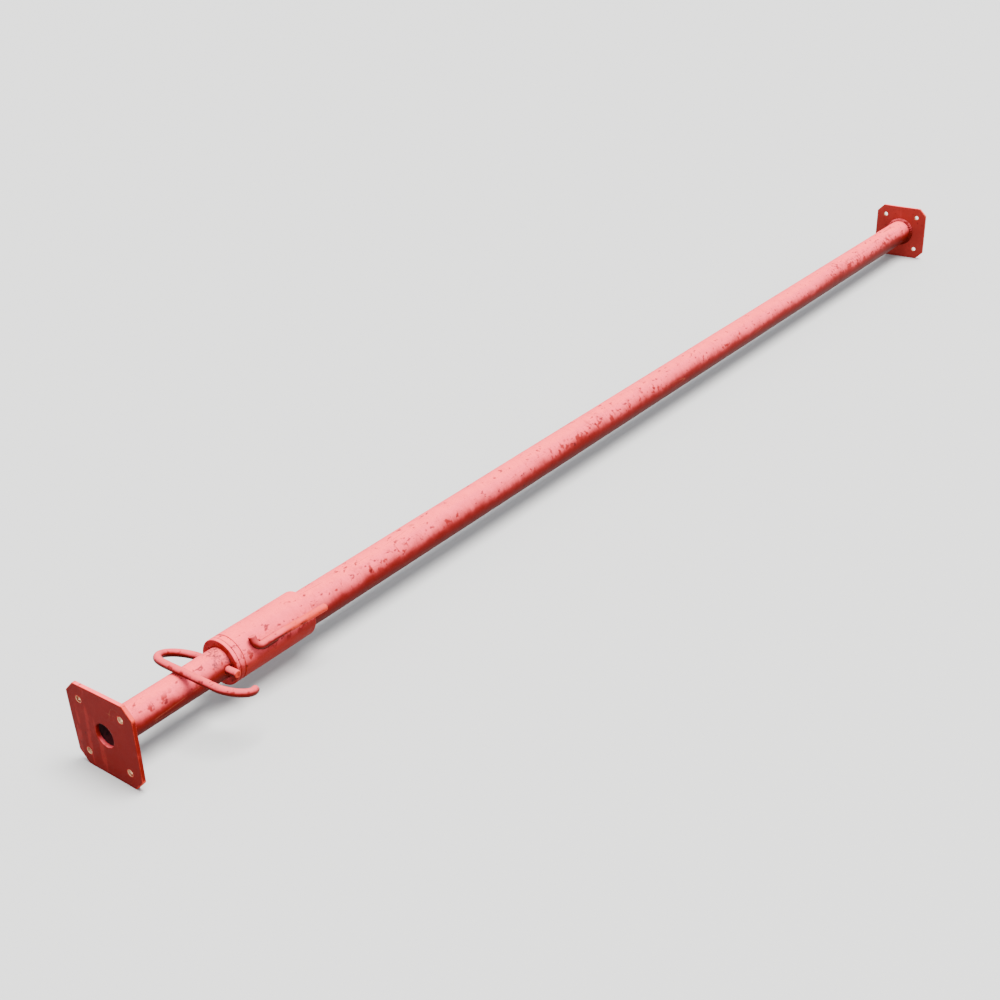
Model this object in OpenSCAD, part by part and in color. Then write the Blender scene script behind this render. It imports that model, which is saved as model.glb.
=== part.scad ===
// Adjustable steel prop with a sleeve nut and a captive G-shaped locking pin.
// It lies on the edges of its two end plates, closed to its shortest length.
// X runs along the prop from the base plate to the head plate, and Z is up.
// The origin is the centre of the base plate's outer face. Lengths are in mm.

/* [Whole prop] */
// Length between the outer faces of the two end plates when closed
closed_length = 2200; // [1400:10:2600]
// Travel of the inner tube out of the outer tube, by moving the pin from hole to hole
telescope_travel = 1600; // [800:100:1600]
// Travel of the nut along the thread
nut_travel = 100; // [60:1:110]

/* [End plates] */
// Side of the square end plates
plate_side = 110; // [104:1:150]
// Thickness of the end plates
plate_t = 5; // [4:0.5:10]
// Leg of the cut across each corner of a plate
corner_cut = 14; // [6:1:18]
// Diameter of the hole in the middle of a plate
centre_hole_d = 30; // [16:1:34]
// Distance between neighbouring nail holes
nail_spacing = 70; // [66:1:78]
// Diameter of the nail holes
nail_hole_d = 8; // [5:0.5:12]
// Leg of the weld bead between a tube and its plate
weld_leg = 5; // [3:0.5:7]

/* [Tubes] */
// Outside diameter of the outer tube
outer_od = 48.3; // [48:0.1:49]
// Wall of the outer tube
outer_wall = 2.3; // [1.8:0.1:2.5]
// Outside diameter of the inner tube
inner_od = 40; // [39:0.1:40.4]
// Wall of the inner tube
inner_wall = 2.3; // [1.8:0.1:4]
// Gap between the inner tube's foot and the base plate when closed
foot_gap = 15; // [8:1:60]
// Length of the outer tube's inward lip that guides the inner tube
lip_length = 10; // [6:1:20]
// Radial gap between that lip and the inner tube
lip_clear = 0.4; // [0.3:0.05:0.6]
// Length of the stop ring on the inner tube's foot
stop_ring_length = 16; // [8:1:40]
// Radial gap between the stop ring and the outer tube's bore
stop_ring_clear = 0.3; // [0.2:0.05:0.6]

/* [Pin holes] */
// Distance from the head plate to the first pin hole
first_hole = 160; // [130:1:240]
// Distance between neighbouring pin holes
hole_pitch = 100; // [50:10:200]
// Diameter of the pin holes
pin_hole_d = 11.6; // [11:0.1:14]

/* [Thread] */
// Lead of the rolled thread
thread_lead = 8; // [6:0.5:12]
// Height of the thread above the tube
thread_rise = 1.2; // [0.8:0.1:1.4]
// Radial gap between the thread's crests and the nut's bore
thread_clear = 0.3; // [0.2:0.05:0.4]

/* [Nut and washer] */
// Outside diameter of the sleeve nut and of the thrust washer
nut_od = 60.3; // [59:0.1:64]
// Length of the nut's threaded stretch, at its base end
nut_thread_length = 24; // [18:1:24]
// Wall of the nut where its sleeve covers the thread
sleeve_wall = 3; // [2:0.1:3.2]
// Distance that the nut's sleeve reaches past the outer tube's end
sleeve_overlap = 3; // [1:0.5:4]
// Rounding of the nut's base end
nut_round = 3.5; // [1:0.5:4]
// Distance from the nut's bearing face to the groove around it
groove_setback = 6; // [4:0.5:12]
// Width of that groove
groove_width = 2.4; // [1:0.2:4]
// Depth of that groove
groove_depth = 1.2; // [0.5:0.1:1.5]
// Thickness of the thrust washer
washer_t = 5; // [3:0.5:8]
// Radial gap between the washer and the inner tube
washer_clear = 0.6; // [0.4:0.1:1]
// Gap between the washer and the nut, and between the washer and the pin
seat_clear = 0.3; // [0.2:0.05:0.5]

/* [Nut handle] */
// Diameter of the handle's rod
handle_d = 10; // [8:0.5:12]
// Distance from the nut's bearing face to the handle's hooked leg
handle_setback = 26; // [20:1:34]
// Length of the hooked leg, around the nut
hook_length = 16; // [14:1:24]
// Radius of the bend between the hooked leg and the long leg
hook_radius = 9; // [8:0.5:12]
// Length of the handle that lies along the nut and is welded to it
handle_seat = 26; // [20:1:34]
// Distance that the free end reaches past the nut's base end
handle_reach = 6; // [0:1:20]
// Gap between the nut and the free end of the handle
handle_lift = 10; // [6:0.5:12]
// Angle of the handle up from level, around the prop
handle_angle = 25; // [-30:1:60]

/* [Locking pin] */
// Diameter of the pin's rod
pin_d = 10; // [8:0.5:10.6]
// Distance that the pin's tip stands out of the inner tube
pin_reach = 16; // [10:1:24]
// Distance between the pin's straight leg and its return leg, centre to centre
pin_leg_spacing = 62; // [56:1:80]
// Gap between the inner tube and the start of the pin's round bend
pin_bend_gap = 2; // [1:0.5:6]
// Centre-line radius of the curl that returns beside the tip
curl_radius = 26; // [20:1:28]
// Sweep of that curl
curl_sweep = 132; // [100:1:150]
// Gap that stays around the inner tube when the pin is drawn out
pin_free_gap = 1; // [0.5:0.5:4]

/* [Hidden] */
$fn = 96;

// Colours of the primer
primer_red = [0.62, 0.22, 0.18];
primer_light = [0.74, 0.38, 0.36];
primer_dark = [0.45, 0.14, 0.11];

// A cut that has to pass right through something reaches this far past its faces
through = 1;
// Fillets and chamfers that soften cut ends
edge_break = 1;
// Gap between the nut and the seat of its handle, which the weld fills
seat_gap = 0.1;
// Height by which the ball at the handle's corner stands proud of the rod
corner_proud = 0.02;
// Thread left beyond the nut at the top of its travel
thread_spare = 1;
// Reach of a weld bead's rounded face, as a share of its leg
bead_fullness = 0.62;

// Radii
outer_r = outer_od / 2;
outer_bore_r = outer_r - outer_wall;
inner_r = inner_od / 2;
inner_bore_r = inner_r - inner_wall;
lip_r = inner_r + lip_clear;
crest_r = outer_r + thread_rise;
nut_r = nut_od / 2;
nut_thread_r = crest_r + thread_clear;
sleeve_bore_r = nut_r - sleeve_wall;
nut_length = nut_travel + nut_thread_length + thread_spare + sleeve_overlap;
handle_r = handle_d / 2;
pin_r = pin_d / 2;

// Places along the prop
head_face_x = closed_length - plate_t;
first_hole_x = head_face_x - first_hole;
washer_top_x = first_hole_x - pin_r - seat_clear;
washer_low_x = washer_top_x - washer_t;
nut_top_x = washer_low_x - seat_clear;
nut_low_x = nut_top_x - nut_length;
outer_end_x = nut_top_x - sleeve_overlap;
inner_foot_x = plate_t + foot_gap;
hole_count = floor(telescope_travel / hole_pitch) + 1;

// Thread on the outer tube: it reaches from the nut's base end to the tube's end
thread_length = outer_end_x - nut_low_x;
thread_turns = floor((thread_length - 2 * edge_break) / thread_lead);
thread_flank = thread_rise;
thread_crest = thread_lead / 4;

// Pin: its leg lies along Y, and its return leg rests on top of the inner tube
pin_draw = inner_r + pin_reach + inner_r + pin_free_gap;
pin_tip_y = inner_r + pin_reach;
pin_bend_y = -inner_r - pin_bend_gap;
pin_bend_r = pin_leg_spacing / 2;
curl_end_y = pin_draw + inner_r + pin_free_gap + pin_r;
curl_y = curl_end_y - curl_radius * sin(curl_sweep);
pin_tilt = asin((inner_r + pin_r + seat_clear) / pin_leg_spacing);

// ---- Shared shapes ----

// Turns a shape that stands on Z so that it lies along the prop, from x
module along_prop(x) {
    translate([x, 0, 0])
        rotate([0, 90, 0])
            children();
}

// A square with its four corners cut off
module clipped_square(side, cut) {
    half = side / 2;
    near = half - cut;
    polygon([[near, -half], [half, -near], [half, near], [near, half],
             [-near, half], [-half, near], [-half, -near], [-near, -half]]);
}

// An end plate with its centre hole and its four nail holes
module end_plate() {
    linear_extrude(plate_t)
        difference() {
            clipped_square(plate_side, corner_cut);
            circle(d = centre_hole_d);
            for (x = [-1, 1], y = [-1, 1])
                translate([x, y] * nail_spacing / 2)
                    circle(d = nail_hole_d);
        }
}

// A fillet weld around a tube of radius r, on the plate at its foot
module weld_ring(r) {
    rotate_extrude()
        polygon([[r, 0], [r + weld_leg, 0],
                 [r + bead_fullness * weld_leg, bead_fullness * weld_leg], [r, weld_leg]]);
}

// A ring between two radii, with its outer edges broken
module plain_ring(inside_r, outside_r, length, edge) {
    rotate_extrude()
        polygon([[inside_r, 0], [outside_r - edge, 0], [outside_r, edge],
                 [outside_r, length - edge], [outside_r - edge, length], [inside_r, length]]);
}

// A straight rod along +X with its far end chamfered
module rod(r, length, edge = 0) {
    rotate([0, 90, 0]) {
        cylinder(r = r, h = length - edge);
        translate([0, 0, length - edge])
            cylinder(r1 = r, r2 = r - edge, h = edge);
    }
}

// A rod bent about Z: its centre line starts at [bend_r, 0] and turns through the sweep
module bent_rod(r, bend_r, sweep) {
    rotate_extrude(angle = sweep)
        translate([bend_r, 0])
            circle(r = r);
}

// ---- Fixed part: base plate and outer tube ----

module base_plate() {
    color(primer_dark)
        along_prop(0)
            end_plate();
}

module base_weld() {
    color(primer_dark)
        along_prop(plate_t)
            weld_ring(outer_r);
}

// Outline of the thread on the tube's outside, turn by turn towards the head
function thread_outline(start) = [
    for (turn = [0 : thread_turns - 1])
        let (z = start + turn * thread_lead)
            each [[outer_r, z], [crest_r, z + thread_flank],
                  [crest_r, z + thread_flank + thread_crest], [outer_r, z + 2 * thread_flank + thread_crest]]
];

module outer_tube() {
    length = outer_end_x - plate_t;
    thread_start = length - edge_break - thread_turns * thread_lead;
    color(primer_light)
        along_prop(plate_t)
            rotate_extrude()
                polygon(concat(
                    [[outer_bore_r, 0], [outer_r, 0]],
                    thread_outline(thread_start),
                    [[outer_r, length - edge_break], [outer_r - edge_break, length], [lip_r, length],
                     [lip_r, length - lip_length], [outer_bore_r, length - lip_length - outer_wall]]));
}

// ---- Nut, handle and washer ----

module thrust_washer() {
    color(primer_red)
        along_prop(washer_low_x)
            plain_ring(inner_r + washer_clear, nut_r, washer_t, edge_break);
}

// The nut's base end is at z = 0 here. Its thread is cut as grooves outside the crests' radius.
function nut_thread_outline() = [
    for (z = [nut_thread_length - thread_lead / 2 : -thread_lead : thread_lead / 2])
        each [[nut_thread_r, z + thread_flank], [nut_thread_r + thread_rise, z],
              [nut_thread_r, z - thread_flank]]
];

module nut_groove() {
    groove_z = nut_length - groove_setback;
    difference() {
        translate([0, 0, groove_z - groove_width])
            cylinder(r = nut_r + through, h = groove_width);
        translate([0, 0, groove_z - groove_width - through])
            cylinder(r = nut_r - groove_depth, h = groove_width + 2 * through);
    }
}

module nut_body() {
    rotate_extrude() {
        polygon(concat(
            [[nut_thread_r + edge_break, 0], [nut_r - nut_round, 0], [nut_r - nut_round, nut_round],
             [nut_r, nut_round], [nut_r, nut_length - edge_break], [nut_r - edge_break, nut_length],
             [sleeve_bore_r, nut_length], [sleeve_bore_r, nut_thread_length + edge_break],
             [nut_thread_r, nut_thread_length]],
            nut_thread_outline(),
            [[nut_thread_r, edge_break]]));
        intersection() {
            translate([nut_r - nut_round, nut_round])
                circle(r = nut_round);
            translate([nut_r - nut_round, 0])
                square(nut_round);
        }
    }
}

module cup_nut() {
    color(primer_light)
        along_prop(nut_low_x)
            difference() {
                nut_body();
                nut_groove();
            }
}

// Handle, in a frame turned so that it lies on the nut's +Y side, from the hook towards the base.
// Its seat lies against the nut, and past a slight corner its long leg leans out to the free end.
handle_seat_y = nut_r + handle_r + seat_gap;
handle_hook_x = nut_top_x - handle_setback;
handle_bend_x = handle_hook_x - hook_radius - handle_seat;
handle_end_x = nut_low_x - handle_reach;
handle_lean = atan((handle_lift - seat_gap) / (handle_bend_x - handle_end_x));

module handle_frame() {
    rotate([handle_angle, 0, 0])
        translate([0, handle_seat_y, 0])
            children();
}

module nut_handle_rod() {
    // Hooked leg, up around the nut
    translate([handle_hook_x, 0, hook_radius])
        rotate([0, -90, 0])
            rod(handle_r, hook_length - hook_radius, edge_break);
    // Bend from the hooked leg into the seat
    translate([handle_hook_x - hook_radius, 0, hook_radius])
        rotate([90, 0, 0])
            rotate([0, 0, -90])
                bent_rod(handle_r, hook_radius, 90);
    // Seat along the nut
    translate([handle_bend_x, 0, 0])
        rod(handle_r, handle_seat);
    // Corner where the handle leaves the nut
    translate([handle_bend_x, 0, 0])
        sphere(r = handle_r + corner_proud);
    // Long leg, leaning out to the free end
    translate([handle_bend_x, 0, 0])
        rotate([0, 0, 180 - handle_lean])
            rod(handle_r, (handle_bend_x - handle_end_x) / cos(handle_lean), 2 * edge_break);
}

module nut_handle() {
    color(primer_light)
        handle_frame()
            nut_handle_rod();
}

// Bead that fills the corner between the handle's seat and the nut, above the rod (side 1) or below it (-1)
handle_bead_r = 0.55 * handle_r;
handle_bead_y = -0.75 * handle_r;
handle_bead_z = 0.95 * handle_r;

module handle_weld(side) {
    color(primer_dark)
        difference() {
            handle_frame()
                translate([handle_bend_x, handle_bead_y, side * handle_bead_z])
                    rotate([0, 90, 0])
                        cylinder(r = handle_bead_r, h = handle_seat);
            along_prop(nut_low_x)
                cylinder(r = nut_r, h = nut_length);
            handle_frame()
                translate([handle_bend_x - through, 0, 0])
                    rod(handle_r + corner_proud, handle_seat + 2 * through);
        }
}

// ---- Inner tube and head plate ----

module inner_tube() {
    length = head_face_x - inner_foot_x;
    color(primer_light)
        difference() {
            along_prop(inner_foot_x)
                difference() {
                    cylinder(r = inner_r, h = length);
                    translate([0, 0, -through])
                        cylinder(r = inner_bore_r, h = length + 2 * through);
                }
            for (hole = [0 : hole_count - 1])
                translate([first_hole_x - hole * hole_pitch, 0, 0])
                    rotate([90, 0, 0])
                        cylinder(d = pin_hole_d, h = 2 * (inner_r + through), center = true);
        }
}

module stop_ring() {
    color(primer_dark)
        along_prop(inner_foot_x)
            plain_ring(inner_r, outer_bore_r - stop_ring_clear, stop_ring_length, edge_break);
}

module head_plate() {
    color(primer_dark)
        along_prop(head_face_x)
            end_plate();
}

module head_weld() {
    color(primer_dark)
        translate([head_face_x, 0, 0])
            rotate([0, -90, 0])
                weld_ring(inner_r);
}

// ---- Locking pin ----

// The pin lies in a plane here: its straight leg on Y, its return leg beside it at +X
module pin_outline() {
    // Straight leg with its chamfered tip
    translate([0, pin_bend_y, 0])
        rotate([0, 0, 90])
            rod(pin_r, pin_tip_y - pin_bend_y, edge_break);
    // Round bend
    translate([pin_bend_r, pin_bend_y, 0])
        rotate([0, 0, 180])
            bent_rod(pin_r, pin_bend_r, 180);
    // Return leg
    translate([pin_leg_spacing, pin_bend_y, 0])
        rotate([0, 0, 90])
            rod(pin_r, curl_y - pin_bend_y);
    // Curl that returns beside the tip
    translate([pin_leg_spacing - curl_radius, curl_y, 0])
        bent_rod(pin_r, curl_radius, curl_sweep);
}

module lock_pin() {
    color(primer_red)
        translate([first_hole_x, 0, 0])
            rotate([0, -pin_tilt, 0])
                pin_outline();
}

base_plate();
base_weld();
outer_tube();
thrust_washer();
cup_nut();
nut_handle();
handle_weld(1);  // handle_weld_upper
handle_weld(-1);  // handle_weld_lower
inner_tube();
stop_ring();
head_plate();
head_weld();
lock_pin();
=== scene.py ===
"""Looks of one adjustable steel prop: tubes, nut, pin and plates under worn red oxide primer.

Lengths are in metres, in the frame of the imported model: X runs along the prop from the base plate to the
head plate, and Z is up as the closed prop lies on the edges of its two plates.
"""

import logging
import math
from dataclasses import dataclass, replace
from enum import Enum
from typing import Callable, Sequence

import bmesh
import bpy
import numpy as np
from mathutils import Matrix, Vector
from mathutils.geometry import delaunay_2d_cdt


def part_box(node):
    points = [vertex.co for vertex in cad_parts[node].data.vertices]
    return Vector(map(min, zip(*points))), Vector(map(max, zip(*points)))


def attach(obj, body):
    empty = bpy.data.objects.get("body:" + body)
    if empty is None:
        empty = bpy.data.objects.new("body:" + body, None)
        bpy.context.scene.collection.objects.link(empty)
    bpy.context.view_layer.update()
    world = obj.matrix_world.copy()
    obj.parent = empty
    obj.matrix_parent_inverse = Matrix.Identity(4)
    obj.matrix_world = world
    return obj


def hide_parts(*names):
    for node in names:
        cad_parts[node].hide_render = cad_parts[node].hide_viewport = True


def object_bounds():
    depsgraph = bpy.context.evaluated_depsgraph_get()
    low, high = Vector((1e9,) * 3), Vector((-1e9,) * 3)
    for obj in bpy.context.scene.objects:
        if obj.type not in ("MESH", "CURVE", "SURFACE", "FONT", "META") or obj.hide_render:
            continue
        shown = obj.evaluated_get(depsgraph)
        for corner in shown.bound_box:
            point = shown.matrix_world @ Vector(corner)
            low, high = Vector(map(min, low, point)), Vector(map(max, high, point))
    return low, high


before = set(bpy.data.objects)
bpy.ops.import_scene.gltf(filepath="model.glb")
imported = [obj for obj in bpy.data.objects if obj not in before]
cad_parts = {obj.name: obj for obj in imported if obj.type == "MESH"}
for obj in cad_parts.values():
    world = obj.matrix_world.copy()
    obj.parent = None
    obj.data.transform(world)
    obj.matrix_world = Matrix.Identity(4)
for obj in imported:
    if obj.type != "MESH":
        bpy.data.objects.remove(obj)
cad_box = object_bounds()

LOG = logging.getLogger("prop")
MM = 0.001
TAU = 2 * math.pi
ROUND_OFF = 1e-6
NEAR_ZERO = 1e-12
ORIGIN = (0.0, 0.0, 0.0)
UNIT = (1.0, 1.0, 1.0)
Colour = tuple[float, float, float]
Place = tuple[float, float, float]
Shape = tuple[np.ndarray, list[np.ndarray]]
Socket = bpy.types.NodeSocket


# ---- Surfaces ------------------------------------------------------------------------------------


def smooth(value: np.ndarray, low: float, high: float) -> np.ndarray:
    """Ease from 0 at low to 1 at high, with the curve 3t² - 2t³.

    Args:
        value: Numbers to ease.
        low: Value that gives 0.
        high: Value that gives 1.

    Returns:
        The eased numbers, as many as came in.
    """
    t = np.clip((value - low) / (high - low), 0.0, 1.0)
    return t * t * (3.0 - 2.0 * t)


def grid_faces(rows: int, columns: int, wrap_rows: bool = False, wrap_columns: bool = True) -> np.ndarray:
    """Quads between the neighbouring points of a grid that is numbered row by row.

    Args:
        rows: Number of rows of points.
        columns: Number of points in each row.
        wrap_rows: Whether the last row joins the first.
        wrap_columns: Whether each row closes on itself.

    Returns:
        Point numbers, four to a face.
    """
    row = np.arange(rows if wrap_rows else rows - 1)[:, None]
    column = np.arange(columns if wrap_columns else columns - 1)[None, :]
    next_row = (row + 1) % rows
    next_column = (column + 1) % columns
    corners = [
        row * columns + column,
        row * columns + next_column,
        next_row * columns + next_column,
        next_row * columns + column,
    ]
    return np.stack([c.ravel() for c in np.broadcast_arrays(*corners)], axis=1)


def around_axis(x: np.ndarray, radius: np.ndarray, angle: np.ndarray) -> np.ndarray:
    """Points round the prop's axis: X is kept, Y is radius times cosine, and Z is radius times sine.

    Args:
        x: Places along the prop.
        radius: Distances from its axis.
        angle: Angles about +X, from +Y towards +Z.

    Returns:
        One point for each set of values, after broadcasting.
    """
    x, radius, angle = np.broadcast_arrays(x, radius, angle)
    return np.stack([x, radius * np.cos(angle), radius * np.sin(angle)], axis=-1)


def arc(centre: Sequence[float], radius: float, start: float, end: float, count: int) -> np.ndarray:
    """Points on a round stretch in a plane, at even angles.

    Args:
        centre: Middle of the circle.
        radius: Its radius.
        start: First angle, in degrees.
        end: Last angle, in degrees.
        count: Number of points, with both ends.

    Returns:
        An array of count points.
    """
    angle = np.radians(np.linspace(start, end, count))
    return np.asarray(centre) + radius * np.stack([np.cos(angle), np.sin(angle)], axis=1)


def waviness(along: np.ndarray, angle: np.ndarray, pitch: float, seed: int) -> np.ndarray:
    """Gentle unevenness of a round part: six sine waves of random slope and phase, averaged.

    Args:
        along: Places along the part.
        angle: Angles round it.
        pitch: Shortest wave along the part.
        seed: Start of the random draws.

    Returns:
        Numbers from -1 to 1.
    """
    rng = np.random.default_rng(seed)
    waves = 6
    total = np.zeros(np.broadcast(along, angle).shape)
    for turns in range(waves):
        wave = pitch * rng.uniform(1.0, 4.0)
        phase = rng.uniform(0.0, TAU)
        total += np.sin(TAU * along / wave + turns * angle + phase)
    return total / waves


def dents(along: np.ndarray, angle: np.ndarray, radius: float, span: tuple[float, float], count: int,
          seed: int) -> np.ndarray:
    """Depth of handling dents: each is a round hollow that falls off as a bell curve from its middle.

    Args:
        along: Places along the part.
        angle: Angles round it.
        radius: Radius of the part.
        span: Stretch of the part that holds the dents.
        count: Number of dents.
        seed: Start of the random draws.

    Returns:
        Depths below the true surface, 0 or more.
    """
    rng = np.random.default_rng(seed)
    depth = np.zeros(np.broadcast(along, angle).shape)
    for _ in range(count):
        middle = rng.uniform(*span)
        facing = rng.uniform(0.0, TAU)
        width = rng.uniform(3.0, 9.0) * MM
        deepest = rng.uniform(0.1, 0.5) * MM
        turn = (angle - facing + math.pi) % TAU - math.pi
        distance = ((along - middle) ** 2 + (radius * turn) ** 2) / width**2
        depth = np.maximum(depth, deepest * np.exp(-distance))
    return depth


def grimed_inside(place: np.ndarray, radius: float, worn: np.ndarray, grime: float) -> np.ndarray:
    """Rubbing of a hollow round part: its own outside, and even grime where it is nearer the axis.

    Args:
        place: Points of the part.
        radius: Distance from the axis inside which all is grimed.
        worn: Rubbing of the outside.
        grime: Rubbing of the inside, below 0.

    Returns:
        The rubbing at each point.
    """
    return np.where(np.hypot(place[:, 1], place[:, 2]) < radius, grime, worn)


def stretch(start: Sequence[float], end: Sequence[float], spacing: float) -> np.ndarray:
    """Points on a straight line, evenly spaced, with its start and without its end.

    Args:
        start: First point.
        end: Where the line ends.
        spacing: Widest gap between points.

    Returns:
        One row for each point.
    """
    start = np.asarray(start, float)
    step = np.asarray(end, float) - start
    count = max(1, math.ceil(float(np.linalg.norm(step)) / spacing - ROUND_OFF))
    return start + (np.arange(count) / count)[:, None] * step


def lathe(outline: np.ndarray, columns: int, change: Callable | None = None) -> Shape:
    """Turns a closed outline round the prop's axis.

    Args:
        outline: Points (x, radius), once round the outline.
        columns: Number of points round the axis.
        change: Gives what is added to the radius, from arrays of x, radius and angle.

    Returns:
        The points, and the quads between them.
    """
    angle = (np.arange(columns) * TAU / columns)[None, :]
    x = outline[:, 0, None]
    radius = outline[:, 1, None]
    if change is not None:
        radius = radius + change(x, radius, angle)
    return around_axis(x, radius, angle).reshape(-1, 3), [grid_faces(len(outline), columns, wrap_rows=True)]


def bent_bar(path: np.ndarray, radius: float, edge: float, columns: int,
             change: Callable | None = None) -> Shape:
    """A round bar along a path that lies in a plane, with rounded ends that are closed.

    Each ring of points stands square to the path: centre + r cos(a) side + r sin(a) plane normal.

    Args:
        path: Points (u, v) of the bar's middle line.
        radius: Radius of the bar.
        edge: Rounding of its two ends.
        columns: Number of points round the bar.
        change: Gives what is added to the radius, from the distance along the bar and the angle.

    Returns:
        The points (u, v, w), with w square to the plane, and the quads between them.
    """
    step = np.diff(path, axis=0)
    length = np.concatenate([[0.0], np.cumsum(np.linalg.norm(step, axis=1))])
    face = np.array([[0.0, share * (radius - edge)] for share in (0.0, 0.5, 0.9)])
    near = np.concatenate([face, arc((edge, radius - edge), edge, 180, 90, 5)])
    far = near[::-1] * (-1.0, 1.0) + (length[-1], 0.0)
    clear = 1.5 * edge
    along = length[(length > clear) & (length < length[-1] - clear)]
    rows = np.concatenate([near, np.column_stack([along, np.full(len(along), radius)]), far])
    place = np.stack([np.interp(rows[:, 0], length, path[:, axis]) for axis in range(2)], axis=1)
    heading = np.gradient(path, length, axis=0)
    heading = np.stack([np.interp(rows[:, 0], length, heading[:, axis]) for axis in range(2)], axis=1)
    heading /= np.linalg.norm(heading, axis=1)[:, None]
    angle = (np.arange(columns) * TAU / columns)[None, :]
    reach = rows[:, 1, None]
    if change is not None:
        reach = reach * (1.0 + change(rows[:, 0, None], angle) / radius)
    sideways = reach * np.cos(angle)
    u = place[:, 0, None] - heading[:, 1, None] * sideways
    v = place[:, 1, None] + heading[:, 0, None] * sideways
    points = np.stack(np.broadcast_arrays(u, v, reach * np.sin(angle)), axis=-1)
    return points.reshape(-1, 3), [grid_faces(len(rows), columns)]


# ---- Sheets with holes ---------------------------------------------------------------------------


@dataclass(frozen=True)
class Rim:
    """Closed convex edge of a sheet: each point is its anchor plus its reach times its normal.

    The normals point out of the material, so a hole has them towards its middle and a negative reach.
    """

    anchors: np.ndarray
    normals: np.ndarray
    reach: float

    def ring(self, inset: float, depth: float) -> np.ndarray:
        """Points of the edge, moved into the material. In a flat sheet they are the same at every depth."""
        return self.anchors + (self.reach - inset) * self.normals


@dataclass(frozen=True)
class DrilledRim(Rim):
    """Round hole drilled straight through a rolled sheet, as it lies in the unrolled sheet.

    A drill of radius q meets the wall at radius r where the angle round the tube is asin(q sin(a) / r).
    """

    tube_radius: float = 0.0

    def ring(self, inset: float, depth: float) -> np.ndarray:
        """Points of the hole's edge.

        Args:
            inset: How far they are moved into the material.
            depth: How deep they lie below the tube's outside.

        Returns:
            Points in the unrolled sheet.
        """
        along, across = ((self.reach - inset) * self.normals).T
        turn = np.arcsin(across / (self.tube_radius - depth))
        return self.anchors + np.stack([along, self.tube_radius * turn], axis=1)


def round_hole(kind: type[Rim], centre: Sequence[float], radius: float, count: int, **more: float) -> Rim:
    """Edge of a round hole.

    Args:
        kind: Rim, or DrilledRim for a hole in a tube.
        centre: Middle of the hole, in the sheet.
        radius: Its radius.
        count: Number of points round it.
        more: What else that kind of rim needs.

    Returns:
        The rim.
    """
    angle = np.arange(count) * TAU / count
    normals = -np.stack([np.cos(angle), np.sin(angle)], axis=1)
    anchors = np.repeat(np.asarray(centre, float)[None, :], count, axis=0)
    return kind(anchors, normals, -radius, **more)


def clipped_square(side: float, cut: float, rounding: float, spacing: float) -> Rim:
    """Edge of a square with its four corners cut off and every corner rounded.

    Args:
        side: Side of the square.
        cut: Leg of each cut.
        rounding: Radius of each corner.
        spacing: Distance between points on the straight stretches.

    Returns:
        The rim.
    """
    half = side / 2
    near = half - cut
    corner_points = 4
    one_side = np.array([[half, -near], [half, near]])
    quarter_turn = np.array([[0, 1], [-1, 0]])
    corners = np.concatenate([one_side @ np.linalg.matrix_power(quarter_turn, k) for k in range(4)])
    step = np.roll(corners, -1, axis=0) - corners
    normal = np.stack([step[:, 1], -step[:, 0]], axis=1) / np.linalg.norm(step, axis=1)[:, None]
    before = np.roll(normal, 1, axis=0)
    share = 1.0 + (before * normal).sum(axis=1)
    centres = corners - rounding * (before + normal) / share[:, None]
    following = np.roll(centres, -1, axis=0)
    anchors = []
    normals = []
    for index in range(len(corners)):
        swing = np.linspace(0.0, 1.0, corner_points)[:, None]
        facing = before[index] * (1.0 - swing) + normal[index] * swing
        normals.append(facing / np.linalg.norm(facing, axis=1)[:, None])
        anchors.append(np.repeat(centres[index][None, :], len(swing), axis=0))
        count = max(2, round(float(np.linalg.norm(following[index] - centres[index])) / spacing))
        part = (np.arange(1, count) / count)[:, None]
        anchors.append(centres[index] + part * (following[index] - centres[index]))
        normals.append(np.repeat(normal[index][None, :], count - 1, axis=0))
    return Rim(np.concatenate(anchors), np.concatenate(normals), rounding)


def inside(polygon: np.ndarray, points: np.ndarray) -> np.ndarray:
    """Whether each point lies inside a convex polygon: on the same side of every one of its edges.

    Args:
        polygon: Corners, in order.
        points: Points to test.

    Returns:
        True or False for each point.
    """
    step = np.roll(polygon, -1, axis=0) - polygon
    away = points[:, None, :] - polygon[None, :, :]
    side = step[None, :, 0] * away[:, :, 1] - step[None, :, 1] * away[:, :, 0]
    return (side > 0).all(axis=1) | (side < 0).all(axis=1)


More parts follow.
